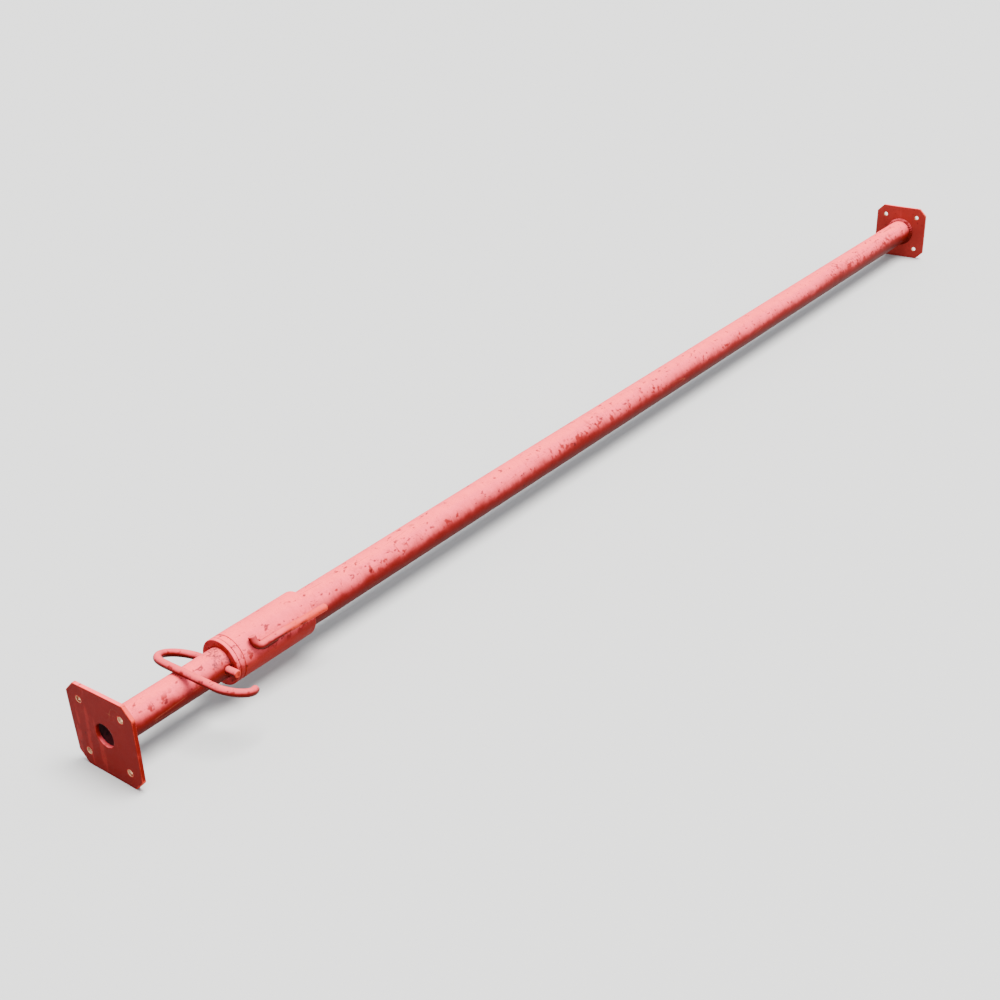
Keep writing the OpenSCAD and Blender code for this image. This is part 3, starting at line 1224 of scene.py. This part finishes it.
@dataclass(frozen=True)
class OuterTube(Piece):
    """Outer tube with a rolled thread at its head end and an inward lip that guides the inner tube."""

    node: str = "outer_tube"
    body: str = "outer"
    slot: str = "tube_primer"
    radius: float = 24.15 * MM
    wall: float = 2.3 * MM
    lip_radius: float = 20.4 * MM
    lip_length: float = 10 * MM
    edge: float = 1 * MM
    lead: float = 8 * MM
    rise: float = 1.2 * MM
    flank_share: float = 0.15
    crest_share: float = 0.25
    turns: int = 15
    thread_margin: float = 20 * MM
    dents_from: float = 50 * MM
    crest_wear: float = 0.8
    root_grime: float = 0.36
    columns: int = 112
    uneven: Unevenness = Unevenness(height=0.12 * MM, pitch=90 * MM, dent_count=40, seed=5)

    @property
    def thread(self) -> tuple[float, float]:
        """Start and end of the thread along the prop."""
        end = self.span[1] - self.edge
        return end - self.turns * self.lead, end

    def shape(self) -> Shape:
        """The turned wall, with its rings close together along the thread.

        Returns:
            The points and the faces.
        """
        low, high = self.span
        start, end = self.thread
        bore = self.radius - self.wall
        small = 0.5 * self.edge
        lip = high - self.lip_length
        outline = np.concatenate([
            stretch((low, bore), (low, self.radius), self.wall),
            stretch((low, self.radius), (start, self.radius), 6 * MM),
            stretch((start, self.radius), (end, self.radius), 0.5 * MM),
            arc((end, self.radius - self.edge), self.edge, 90, 0, 5),
            arc((high - small, self.lip_radius + small), small, 0, -90, 4),
            stretch((lip, self.lip_radius), (lip - self.wall, bore), self.wall),
            stretch((lip - self.wall, bore), (low, bore), 100 * MM),
        ])
        return lathe(outline, self.columns, self._change)

    def height(self, x: np.ndarray, angle: np.ndarray) -> np.ndarray:
        """Height of the thread: one ridge per turn of t = x / lead - angle / (2 pi), fading at both ends.

        Args:
            x: Places along the prop.
            angle: Angles round it.

        Returns:
            Heights above the plain tube.
        """
        start, end = self.thread
        t = ((x - start) / self.lead - angle / TAU) % 1.0
        top = self.flank_share + self.crest_share
        ridge = smooth(t, 0.0, self.flank_share) * smooth(t, top + self.flank_share, top)
        fade = smooth(x, start, start + 0.6 * self.lead) * smooth(x, end, end - 0.3 * self.lead)
        return self.rise * ridge * fade

    def _change(self, x: np.ndarray, radius: np.ndarray, angle: np.ndarray) -> np.ndarray:
        """What the thread, the tube's unevenness and its dents add to the radius.

        Args:
            x: Places along the prop.
            radius: Distances from its axis.
            angle: Angles round it.

        Returns:
            What is added to the radius.
        """
        start = self.thread[0]
        outside = smooth(radius, self.radius - 1.2 * self.edge, self.radius - 0.9 * self.edge)
        plain = smooth(x, start, start - self.thread_margin)
        uneven = self.uneven.change(x, angle, self.radius, (self.dents_from, start))
        return outside * (self.height(x, angle) + plain * uneven)

    def rub(self, place: np.ndarray) -> np.ndarray:
        """Rubs the primer on the thread's crests, and grimes its roots.

        Args:
            place: Points of the piece.

        Returns:
            The rubbing at each point.
        """
        start = self.thread[0]
        distance = np.hypot(place[:, 1], place[:, 2])
        crest = smooth(distance, self.radius + 0.4 * self.rise, self.radius + 0.9 * self.rise)
        threaded = smooth(place[:, 0], start - 12 * MM, start + 4 * MM)
        worn = threaded * (self.crest_wear * crest - self.root_grime)
        return grimed_inside(place, self.radius - 1.5 * MM, worn, -1.0)


@dataclass(frozen=True)
class SleeveNut(Piece):
    """Nut with a sleeve that covers the thread, a rounded base end and a groove near its bearing face."""

    tube: OuterTube
    node: str = "cup_nut"
    body: str = "nut"
    slot: str = "nut_primer"
    base_round: float = 3.5 * MM
    edge: float = 1 * MM
    soft: float = 0.4 * MM
    sleeve_wall: float = 3 * MM
    thread_length: float = 24 * MM
    thread_clear: float = 0.3 * MM
    groove_setback: float = 6 * MM
    groove_width: float = 2.4 * MM
    groove_depth: float = 1.2 * MM
    dent_length: float = 120 * MM
    end_wear: float = 0.1
    top_grime: float = 0.26
    columns: int = 112
    uneven: Unevenness = Unevenness(height=0.15 * MM, pitch=40 * MM, dent_count=14, seed=11)

    @property
    def radius(self) -> float:
        """Outside radius of the nut."""
        return self.width / 2

    @property
    def bore(self) -> float:
        """Radius of the threaded bore."""
        return self.tube.radius + self.tube.rise + self.thread_clear

    def shape(self) -> Shape:
        """The turned nut, with its groove outside and its thread inside the base end.

        Returns:
            The points and the faces.
        """
        low, high = self.span
        radius = self.radius
        bore = self.bore
        edge = self.edge
        soft = self.soft
        sleeve = radius - self.sleeve_wall
        floor = radius - self.groove_depth
        groove = high - self.groove_setback
        groove_start = groove - self.groove_width
        shoulder = low + self.base_round
        outline = np.concatenate([
            stretch((low, bore + edge), (low, radius - self.base_round), 1 * MM),
            arc((shoulder, radius - self.base_round), self.base_round, 180, 90, 12),
            stretch((shoulder + 1 * MM, radius), (groove_start - soft, radius), 2 * MM),
            arc((groove_start - soft, radius - soft), soft, 90, 0, 4),
            arc((groove_start + soft, floor + soft), soft, 180, 270, 4),
            arc((groove - soft, floor + soft), soft, 270, 360, 4),
            arc((groove + soft, radius - soft), soft, 180, 90, 4),
            arc((high - edge, radius - edge), edge, 90, 0, 5),
            arc((high - soft, sleeve + soft), soft, 0, -90, 4),
            stretch((high - soft, sleeve), (low + self.thread_length + edge, sleeve), 20 * MM),
            stretch((low + self.thread_length, bore), (low + edge, bore), 0.8 * MM),
            [(low + edge, bore)],
        ])
        return lathe(outline, self.columns, self._change)

    def _change(self, x: np.ndarray, radius: np.ndarray, angle: np.ndarray) -> np.ndarray:
        """What the inner thread, the nut's unevenness and its dents add to the radius.

        Args:
            x: Places along the prop.
            radius: Distances from its axis.
            angle: Angles round it.

        Returns:
            What is added to the radius.
        """
        low = self.span[0]
        outside = smooth(radius, self.radius - 2.0 * self.edge, self.radius)
        uneven = self.uneven.change(x, angle, self.radius, (low, low + self.dent_length))
        threaded = smooth(radius, self.bore + 0.5 * MM, self.bore) * smooth(x, low + 1 * MM, low + 3 * MM)
        return outside * uneven + threaded * self.tube.height(x, angle)

    def rub(self, place: np.ndarray) -> np.ndarray:
        """Rubs the primer at the base end, and grimes the top of the sleeve.

        Args:
            place: Points of the piece.

        Returns:
            The rubbing at each point.
        """
        low, high = self.span
        x = place[:, 0]
        middle = smooth(x, low + 20 * MM, low + 50 * MM) * smooth(x, high - 10 * MM, high - 40 * MM)
        facing = smooth(place[:, 2], 0.0, 0.7 * self.radius)
        worn = self.end_wear * smooth(x, low + 6 * MM, low) - self.top_grime * middle * facing
        return grimed_inside(place, self.radius - 2 * MM, worn, -0.8)


@dataclass(frozen=True)
class ThrustWasher(Piece):
    """Thick loose washer between the nut and the locking pin."""

    node: str = "thrust_washer"
    body: str = "washer"
    slot: str = "washer_primer"
    bore: float = 20.6 * MM
    edge: float = 0.9 * MM
    flat_gap: float = 0.5 * MM
    spacing: float = 1.5 * MM
    columns: int = 112

    def shape(self) -> Shape:
        """The turned ring, with wide outer edges and small inner ones.

        Returns:
            The points and the faces.
        """
        low, high = self.span
        edge = self.edge
        small = 0.5 * edge
        radius = self.width / 2
        rim = radius - edge - self.flat_gap
        outline = np.concatenate([
            arc((low + edge, radius - edge), edge, 180, 90, 5),
            arc((high - edge, radius - edge), edge, 90, 0, 5),
            stretch((high, rim), (high, self.bore + edge), self.spacing),
            arc((high - small, self.bore + small), small, 0, -90, 4),
            arc((low + small, self.bore + small), small, -90, -180, 4),
            stretch((low, self.bore + edge), (low, rim), self.spacing),
        ])
        return lathe(outline, self.columns)


@dataclass(frozen=True)
class InnerTube(Piece):
    """Inner tube drilled through from side to side, once in every pitch."""

    node: str = "inner_tube"
    body: str = "inner"
    slot: str = "inner_primer"
    wall: float = 2.3 * MM
    hole_radius: float = 5.8 * MM
    hole_edge: float = 0.5 * MM
    burr_edge: float = 0.2 * MM
    hole_points: int = 36
    first_hole: float = 160 * MM
    pitch: float = 100 * MM
    holes: int = 17
    steps: int = 16
    foot_spacing: float = 60 * MM
    head_spacing: float = 4 * MM
    hole_wear: float = 0.25
    top_grime: float = 0.45
    columns: int = 72

    @property
    def radius(self) -> float:
        """Outside radius of the tube."""
        return self.width / 2

    @property
    def first_hole_x(self) -> float:
        """Place of the first hole along the closed prop."""
        return self.span[1] - self.first_hole

    def shape(self) -> Shape:
        """A row of drilled lengths between two plain ends, closed by a ring at each end.

        Returns:
            The points and the faces.
        """
        low, high = self.span
        start = self.first_hole_x - (self.holes - 0.5) * self.pitch
        end = self.first_hole_x + 0.5 * self.pitch
        cell, cell_faces = self._drilled_length()
        rows = [cell + (start + shift, 0.0, 0.0) for shift in self.pitch * np.arange(self.holes)]
        faces = [[block + len(cell) * index for block in cell_faces] for index in range(self.holes)]
        points = [np.concatenate(rows)]
        blocks = [np.concatenate(group) for group in zip(*faces)]
        sections = []
        for near, far, spacing in ((low, start, self.foot_spacing), (end, high, self.head_spacing)):
            for depth in (0.0, self.wall):
                line = stretch((near, depth), (far, depth), spacing)
                sections.append(np.concatenate([line, [(far, depth)]]))
        sections += [np.array([(x, 0.0), (x, self.wall)]) for x in (low, high)]
        count = len(points[0])
        across = self._round_positions()[None, :]
        for section in sections:
            points.append(self._wrap(section[:, None, 0], across, section[:, None, 1]))
            blocks.append(grid_faces(len(section), self.columns) + count)
            count += len(points[-1])
        return np.concatenate(points), blocks

    def _round_positions(self) -> np.ndarray:
        """Distances round the unrolled wall, from the middle of its underside."""
        return (np.arange(self.columns) / self.columns - 0.25) * TAU * self.radius

    def _drilled_length(self) -> Shape:
        """One pitch of the tube with its two facing holes, starting at X = 0.

        Returns:
            The points, and the triangles and quads between them.
        """
        across = self._round_positions()
        turn = TAU * self.radius
        along = np.linspace(0.0, self.pitch, self.steps + 1)
        sides = [
            np.column_stack([along[:-1], np.full(self.steps, across[0])]),
            np.column_stack([np.full(self.columns, self.pitch), across]),
            np.column_stack([along[:0:-1], np.full(self.steps, across[0] + turn)]),
            np.column_stack([np.zeros(self.columns), across[0] + turn - (across - across[0])]),
        ]
        anchors = np.concatenate(sides)
        border = Rim(anchors, np.zeros_like(anchors), 0.0)
        grid = np.stack(np.meshgrid(along[1:-1], across[1:], indexing="ij"), axis=-1).reshape(-1, 2)
        holes = tuple(
            round_hole(DrilledRim, (self.pitch / 2, facing * turn), self.hole_radius, self.hole_points,
                       tube_radius=self.radius)
            for facing in (0.0, 0.5)
        )
        sheet = Sheet(border, holes, self.wall, self.hole_edge, self.burr_edge, grid, closed_border=False)
        points, faces = sheet.build()
        return self._wrap(*points.T), faces

    def _wrap(self, x: np.ndarray, across: np.ndarray, depth: np.ndarray) -> np.ndarray:
        """Rolls the unrolled wall up: the angle is the distance round it over the radius."""
        return around_axis(x, self.radius - depth, across / self.radius).reshape(-1, 3)

    def rub(self, place: np.ndarray) -> np.ndarray:
        """Rubs the primer round each hole, where the pin slides, and grimes the top beside the nut.

        Args:
            place: Points of the piece.

        Returns:
            The rubbing at each point.
        """
        ahead = place[:, 0] - self.first_hole_x
        offset = (ahead + 0.5 * self.pitch) % self.pitch - 0.5 * self.pitch
        distance = np.hypot(offset, place[:, 2])
        near_nut = smooth(ahead, 45 * MM, 10 * MM) * (0.6 + 0.4 * smooth(ahead, -80 * MM, -40 * MM))
        facing = smooth(place[:, 2], -0.2 * self.radius, 0.6 * self.radius)
        worn = self.hole_wear * smooth(distance, self.hole_radius + 3 * MM, self.hole_radius)
        grimed = self.top_grime * near_nut * facing
        return grimed_inside(place, self.radius - 1.5 * MM, worn - grimed, -1.0)


@dataclass(frozen=True)
class WeldRing(Piece):
    """Fillet weld round a tube, laid in short overlapping ripples."""

    node: str
    end: End
    tube_radius: float
    slot: str = "weld_primer"
    leg: float = 5 * MM
    sunk: float = 0.35 * MM
    fan_from: float = -4.0
    fan_to: float = 94.0
    fan_points: int = 15
    ripples: int = 38
    ripple_rise: float = 0.075
    trail: float = 0.8
    pace_swell: float = 0.05
    stop_rise: float = 0.1
    stop_spread: float = 0.012
    columns: int = 264
    even_rub = 0.05

    @property
    def body(self) -> str:
        """Body that the weld rides on."""
        return self.end.value

    def shape(self) -> Shape:
        """The bead in the corner between its tube and its plate, closed by a ring sunk into both.

        Returns:
            The points and the faces.
        """
        low, high = self.span
        corner = low if self.end is End.BASE else high
        inwards = self.end.inwards
        fan = np.radians(np.linspace(self.fan_from, self.fan_to, self.fan_points))[:, None]
        angle = (np.arange(self.columns) * TAU / self.columns)[None, :]
        reach = self.leg * self._size(fan, angle)
        root = np.ones((1, self.columns))
        x = corner + inwards * reach * np.sin(fan)
        x = np.concatenate([x, root * (corner - inwards * self.sunk)])
        radius = self.tube_radius + reach * np.cos(fan)
        radius = np.concatenate([radius, root * (self.tube_radius - self.sunk)])
        points = around_axis(x, radius, angle).reshape(-1, 3)
        return points, [grid_faces(len(x), self.columns, wrap_rows=True)]

    def _size(self, fan: np.ndarray, angle: np.ndarray) -> np.ndarray:
        """Size of the bead, as a share of its leg.

        A full round face is 1 - 0.12 sin²(2 fan). Each ripple is a crescent that trails in the middle of
        the face, and the welder's pace makes the bead swell and shrink. A small lump shows where it stops.

        Args:
            fan: Angles across the face, from the tube to the plate.
            angle: Angles round the tube.

        Returns:
            Sizes near 1.
        """
        rng = np.random.default_rng(self.end.seed)
        from_middle = fan - math.pi / 4
        face = 1.0 - 0.12 * np.sin(2.0 * fan) ** 2
        trail = self.trail * np.cos(2.0 * from_middle)
        pace = sum(np.sin(k * angle + rng.uniform(0, TAU)) / k for k in (2, 3, 5, 9))
        step = (self.ripples * angle / TAU + 0.35 * trail + 0.22 * pace) % 1.0
        ripple = smooth(step, 0.0, 0.75) * smooth(step, 1.0, 0.8)
        swell = 1.0 + self.pace_swell * pace
        stop = np.exp(-((angle - rng.uniform(1.0, 5.0)) ** 2) / self.stop_spread)
        raised = self.ripple_rise * ripple * np.cos(0.8 * from_middle) + self.stop_rise * stop
        return face * swell - 0.05 + raised


@dataclass(frozen=True)
class NutHandle(Piece):
    """Rod handle on the nut: a hooked leg, a seat that is welded along the nut, and a leg that leans out."""

    nut: SleeveNut
    node: str = "nut_handle"
    body: str = "nut"
    slot: str = "rod_primer"
    radius: float = 5 * MM
    seat_gap: float = 0.1 * MM
    setback: float = 26 * MM
    hook_length: float = 16 * MM
    hook_radius: float = 9 * MM
    seat: float = 26 * MM
    reach: float = 6 * MM
    lift: float = 10 * MM
    around: float = 25.0
    bend: float = 5 * MM
    edge: float = 1.3 * MM
    dent_length: float = 120 * MM
    held_wear: float = 0.42
    even_wear: float = 0.05
    columns: int = 28
    uneven: Unevenness = Unevenness(height=0.1 * MM, pitch=30 * MM, dent_count=8, seed=21, dent_share=0.5)

    @property
    def hook_x(self) -> float:
        """Place of the hooked leg along the prop."""
        return self.nut.span[1] - self.setback

    @property
    def corner_x(self) -> float:
        """Place of the corner where the handle leaves the nut."""
        return self.hook_x - self.hook_radius - self.seat

    def placed(self, points: np.ndarray) -> np.ndarray:
        """Moves points from the handle's own frame into the prop's.

        Args:
            points: Places along the prop, out from the nut, and round it.

        Returns:
            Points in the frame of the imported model.
        """
        along, out, over = points.T
        out = out + self.nut.radius + self.radius + self.seat_gap
        turn = math.radians(self.around)
        y = out * math.cos(turn) - over * math.sin(turn)
        z = out * math.sin(turn) + over * math.cos(turn)
        return np.stack([along, y, z], axis=1)

    def shape(self) -> Shape:
        """The bent rod. Its path lies in two planes that meet along the seat.

        Returns:
            The points and the faces.
        """
        hook_x = self.hook_x
        end_x = self.nut.span[0] - self.reach
        spacing = 2 * MM
        path = np.concatenate([
            stretch((hook_x, self.hook_length), (hook_x, self.hook_radius), 0.75 * spacing),
            arc((hook_x - self.hook_radius, self.hook_radius), self.hook_radius, 0, -90, 18),
            stretch((hook_x - self.hook_radius - spacing, 0.0), (end_x, 0.0), spacing),
            [(end_x, 0.0)],
        ])
        points, faces = bent_bar(path, self.radius, self.edge, self.columns, self._change)
        along, over, side = points.T
        slope = (self.lift - self.seat_gap) / (self.corner_x - end_x)
        past = self.corner_x - along
        eased = (past + self.bend) ** 2 / (4 * self.bend)
        lean = slope * np.where(past > self.bend, past, eased) * (past > -self.bend)
        return self.placed(np.stack([along, lean - side, over], axis=1)), faces

    def _change(self, along: np.ndarray, angle: np.ndarray) -> np.ndarray:
        """What the rod's unevenness adds to its radius."""
        return self.uneven.change(along, angle, self.radius, (0, self.dent_length))

    def rub(self, place: np.ndarray) -> np.ndarray:
        """Rubs the primer along the leg that is struck and held."""
        held = smooth(place[:, 0], self.corner_x + 10 * MM, self.corner_x - 20 * MM)
        return self.held_wear * held + self.even_wear


@dataclass(frozen=True)
class HandleWeld(Piece):
    """Bead along the handle's seat, above the rod or below it, sunk a little into the rod and the nut."""

    handle: NutHandle
    node: str
    side: Side
    body: str = "nut"
    slot: str = "weld_primer"
    size: float = 0.55
    sink: float = 0.75
    offset: float = 0.95
    spacing: float = 0.45 * MM
    ripple: float = 2.7 * MM
    ripple_rise: float = 0.24 * MM
    swell: float = 4 * MM
    swell_rise: float = 0.22 * MM
    columns: int = 24
    even_rub = 0.05

    def shape(self) -> Shape:
        """A short round bar with well rounded ends, laid beside the rod.

        Returns:
            The points and the faces.
        """
        handle = self.handle
        radius = self.size * handle.radius
        path = stretch((handle.corner_x, 0.0), (handle.corner_x + handle.seat, 0.0), self.spacing)
        points, faces = bent_bar(path, radius, 0.9 * radius, self.columns, self._change)
        along, out, over = points.T
        out = out - self.sink * handle.radius
        over = over + self.side.value * self.offset * handle.radius
        return handle.placed(np.stack([along, out, over], axis=1)), faces

    def _change(self, along: np.ndarray, angle: np.ndarray) -> np.ndarray:
        """Ripples of the bead, which trail at its middle, and a slow swell.

        Args:
            along: Places along the bead.
            angle: Angles round it.

        Returns:
            What is added to the radius.
        """
        pace = np.sin(along / self.swell + self.side.value)
        step = (along / self.ripple + 0.3 * np.cos(2 * angle) + 0.25 * pace) % 1.0
        crescent = smooth(step, 0.0, 0.7) * smooth(step, 1.0, 0.8)
        return self.ripple_rise * crescent + self.swell_rise * pace


@dataclass(frozen=True)
class LockPin(Piece):
    """G-shaped pin: a straight leg through the inner tube, a round bend, and a leg that curls back."""

    tube: InnerTube
    node: str = "lock_pin"
    body: str = "pin"
    slot: str = "rod_primer"
    radius: float = 5 * MM
    reach: float = 16 * MM
    spacing: float = 62 * MM
    bend_gap: float = 2 * MM
    curl_radius: float = 26 * MM
    curl_sweep: float = 132.0
    rest_clear: float = 0.3 * MM
    free_gap: float = 1 * MM
    edge: float = 1.3 * MM
    dent_length: float = 400 * MM
    leg_wear: float = 0.1
    tip_wear: float = 0.05
    cut_wear: float = 0.36
    columns: int = 32
    uneven: Unevenness = Unevenness(height=0.1 * MM, pitch=35 * MM, dent_count=16, seed=31, dent_share=0.5)

    @property
    def tip(self) -> float:
        """Place of the straight leg's cut face, along Y."""
        return self.tube.radius + self.reach

    def shape(self) -> Shape:
        """The bent rod, tilted so that its return leg rests on the inner tube.

        Returns:
            The points and the faces.
        """
        tube = self.tube.radius
        bend = -tube - self.bend_gap
        draw = self.tip + tube + self.free_gap
        curl_end = draw + tube + self.free_gap + self.radius
        curl = curl_end - self.curl_radius * math.sin(math.radians(self.curl_sweep))
        middle = self.spacing / 2
        step = 2 * MM
        path = np.concatenate([
            stretch((0.0, self.tip), (0.0, bend), step),
            arc((middle, bend), middle, 180, 360, 48),
            stretch((self.spacing, bend + step), (self.spacing, curl), step),
            arc((self.spacing - self.curl_radius, curl), self.curl_radius, 0, self.curl_sweep, 36),
        ])
        points, faces = bent_bar(path, self.radius, self.edge, self.columns, self._change)
        u, y, w = points.T
        tilt = math.asin((tube + self.radius + self.rest_clear) / self.spacing)
        x = self.tube.first_hole_x + u * math.cos(tilt) - w * math.sin(tilt)
        z = u * math.sin(tilt) + w * math.cos(tilt)
        return np.stack([x, y, z], axis=1), faces

    def _change(self, along: np.ndarray, angle: np.ndarray) -> np.ndarray:
        """What the rod's unevenness adds to its radius."""
        return self.uneven.change(along, angle, self.radius, (0, self.dent_length))

    def rub(self, place: np.ndarray) -> np.ndarray:
        """Rubs the primer on the straight leg, most of all on its cut face.

        Args:
            place: Points of the piece.

        Returns:
            The rubbing at each point.
        """
        past = place[:, 0] - self.tube.first_hole_x - self.radius
        short = self.tip - place[:, 1]
        cut = self.tip_wear * smooth(short, 3 * MM, 0.0) + self.cut_wear * smooth(short, 0.5 * MM, 0.0)
        return smooth(past, 7 * MM, 2 * MM) * (self.leg_wear + cut)


# ---- The stage -----------------------------------------------------------------------------------


@dataclass(frozen=True)
class Stage:
    """Floor, lights and camera."""

    floor_side: float = 60.0
    camera_place: Place = (2.893, 1.1, 0.901)
    camera_aim: Place = (1.481, 0.0, -0.024)
    camera_roll: float = 2.4
    camera_lens: float = 49.5
    overhead_place: Place = (0.7, 0.9, 3.4)
    overhead_aim: Place = (1.1, 0.0, 0.0)
    overhead_power: float = 13.0
    overhead_spread: float = 40.0
    overhead_tint: Colour = (1.0, 0.99, 0.97)
    panel_place: Place = (3.6, 3.4, 1.6)
    panel_aim: Place = (1.6, 0.0, 0.0)
    panel_size: tuple[float, float] = (2.5, 1.6)
    panel_power: float = 3.5
    sky_tint: Colour = (0.92, 0.95, 1.0)
    sky_power: float = 1.35

    def build(self) -> None:
        """Makes the whole stage round the prop."""
        self._floor()
        self._overhead()
        self._panel()
        self._sky()
        self._camera()

    def _floor(self) -> None:
        """Lays the pale floor under the plates' edges."""
        half = self.floor_side / 2
        height = cad_box[0].z
        corners = [(x * half, y * half, height) for x, y in ((-1, -1), (1, -1), (1, 1), (-1, 1))]
        mesh = bpy.data.meshes.new("floor")
        mesh.from_pydata(corners, [], [(0, 1, 2, 3)])
        mesh.materials.append(StageFinish("floor_paint").material())
        floor = bpy.data.objects.new("floor", mesh)
        bpy.context.scene.collection.objects.link(floor)

    def _overhead(self) -> None:
        """Lights the whole stage softly and evenly from above."""
        lamp = bpy.data.lights.new("overhead", "SUN")
        lamp.energy = self.overhead_power
        lamp.angle = math.radians(self.overhead_spread)
        lamp.color = self.overhead_tint
        self._hang(lamp, self.overhead_place, self.overhead_aim)

    def _panel(self) -> None:
        """Lights the front with one soft rectangular panel."""
        lamp = bpy.data.lights.new("front_panel", "AREA")
        lamp.shape = "RECTANGLE"
        lamp.size, lamp.size_y = self.panel_size
        lamp.energy = self.panel_power
        self._hang(lamp, self.panel_place, self.panel_aim)

    def _hang(self, lamp: bpy.types.Light, place: Place, aim: Place) -> None:
        """Hangs a light at a place and aims it.

        Args:
            lamp: The light.
            place: Where it hangs.
            aim: What it is turned to.
        """
        holder = bpy.data.objects.new(lamp.name, lamp)
        holder.location = place
        holder.rotation_euler = (Vector(aim) - Vector(place)).to_track_quat("-Z", "Y").to_euler()
        bpy.context.scene.collection.objects.link(holder)

    def _sky(self) -> None:
        """Surrounds the stage with dim even light."""
        world = bpy.data.worlds.new("surround")
        world.use_nodes = True
        back = world.node_tree.nodes.get("Background") or world.node_tree.nodes.new("ShaderNodeBackground")
        back.inputs["Color"].default_value = (*self.sky_tint, 1.0)
        back.inputs["Strength"].default_value = self.sky_power
        bpy.context.scene.world = world

    def _camera(self) -> None:
        """Puts the camera beside the head end, looking back along the prop."""
        lens = bpy.data.cameras.new("camera")
        lens.lens = self.camera_lens
        camera = bpy.data.objects.new("camera", lens)
        view = Vector(self.camera_aim) - Vector(self.camera_place)
        turn = view.to_track_quat("-Z", "Y").to_matrix().to_4x4()
        roll = Matrix.Rotation(math.radians(-self.camera_roll), 4, "Z")
        camera.matrix_world = Matrix.Translation(self.camera_place) @ turn @ roll
        bpy.context.scene.collection.objects.link(camera)
        bpy.context.scene.camera = camera


def main() -> None:
    """Builds every piece in order."""
    logging.basicConfig(level=logging.INFO, format="%(name)s %(message)s")
    Stage().build()
    plate = Primer("head_primer", Coat.BRICK, dust_and_sheen_height=0.65, drips=0.5, seed=1.0)
    head_primer = plate.material()
    # The base plate takes a lighter copy of the head plate's primer: painted light.
    base_primer = replace(plate, name="base_primer", coat=Coat.LIT_BRICK).material()
    weld_primer = Primer("weld_primer", dust_and_sheen_amount=0.6, seed=2.0).material()
    tube_primer = Primer("tube_primer", seed=3.0).material()
    inner_primer = Primer("inner_primer", seed=4.0).material()
    # The nut and the washer take the lighter painted shade.
    nut_primer = Primer("nut_primer", Coat.SOFT_SHADE, dust_and_sheen_height=0.28, seed=5.0).material()
    rod_primer = Primer("rod_primer", dust_and_sheen_amount=0.6, dust_and_sheen_height=0.5, bare=0.72, seed=6.0).material()
    outer_tube = OuterTube()
    inner_tube = InnerTube()
    nut = SleeveNut(outer_tube)
    handle = NutHandle(nut)
    EndPlate("base_plate", End.BASE).build(base_primer)
    WeldRing("base_weld", End.BASE, outer_tube.radius).build(weld_primer)
    outer_tube.build(tube_primer)
    ThrustWasher().build(nut_primer)
    nut.build(nut_primer)
    handle.build(rod_primer)
    HandleWeld(handle, "handle_weld_upper", Side.UPPER).build(weld_primer)
    HandleWeld(handle, "handle_weld_lower", Side.LOWER).build(weld_primer)
    inner_tube.build(inner_primer)
    EndPlate("head_plate", End.HEAD).build(head_primer)
    WeldRing("head_weld", End.HEAD, inner_tube.radius).build(weld_primer)
    LockPin(inner_tube).build(rod_primer)
    stop_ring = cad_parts["stop_ring"]
    stop_ring.data.materials.clear()
    stop_ring.data.materials.append(OiledSteel("bare_steel").material())


if __name__ == "__main__":
    main()
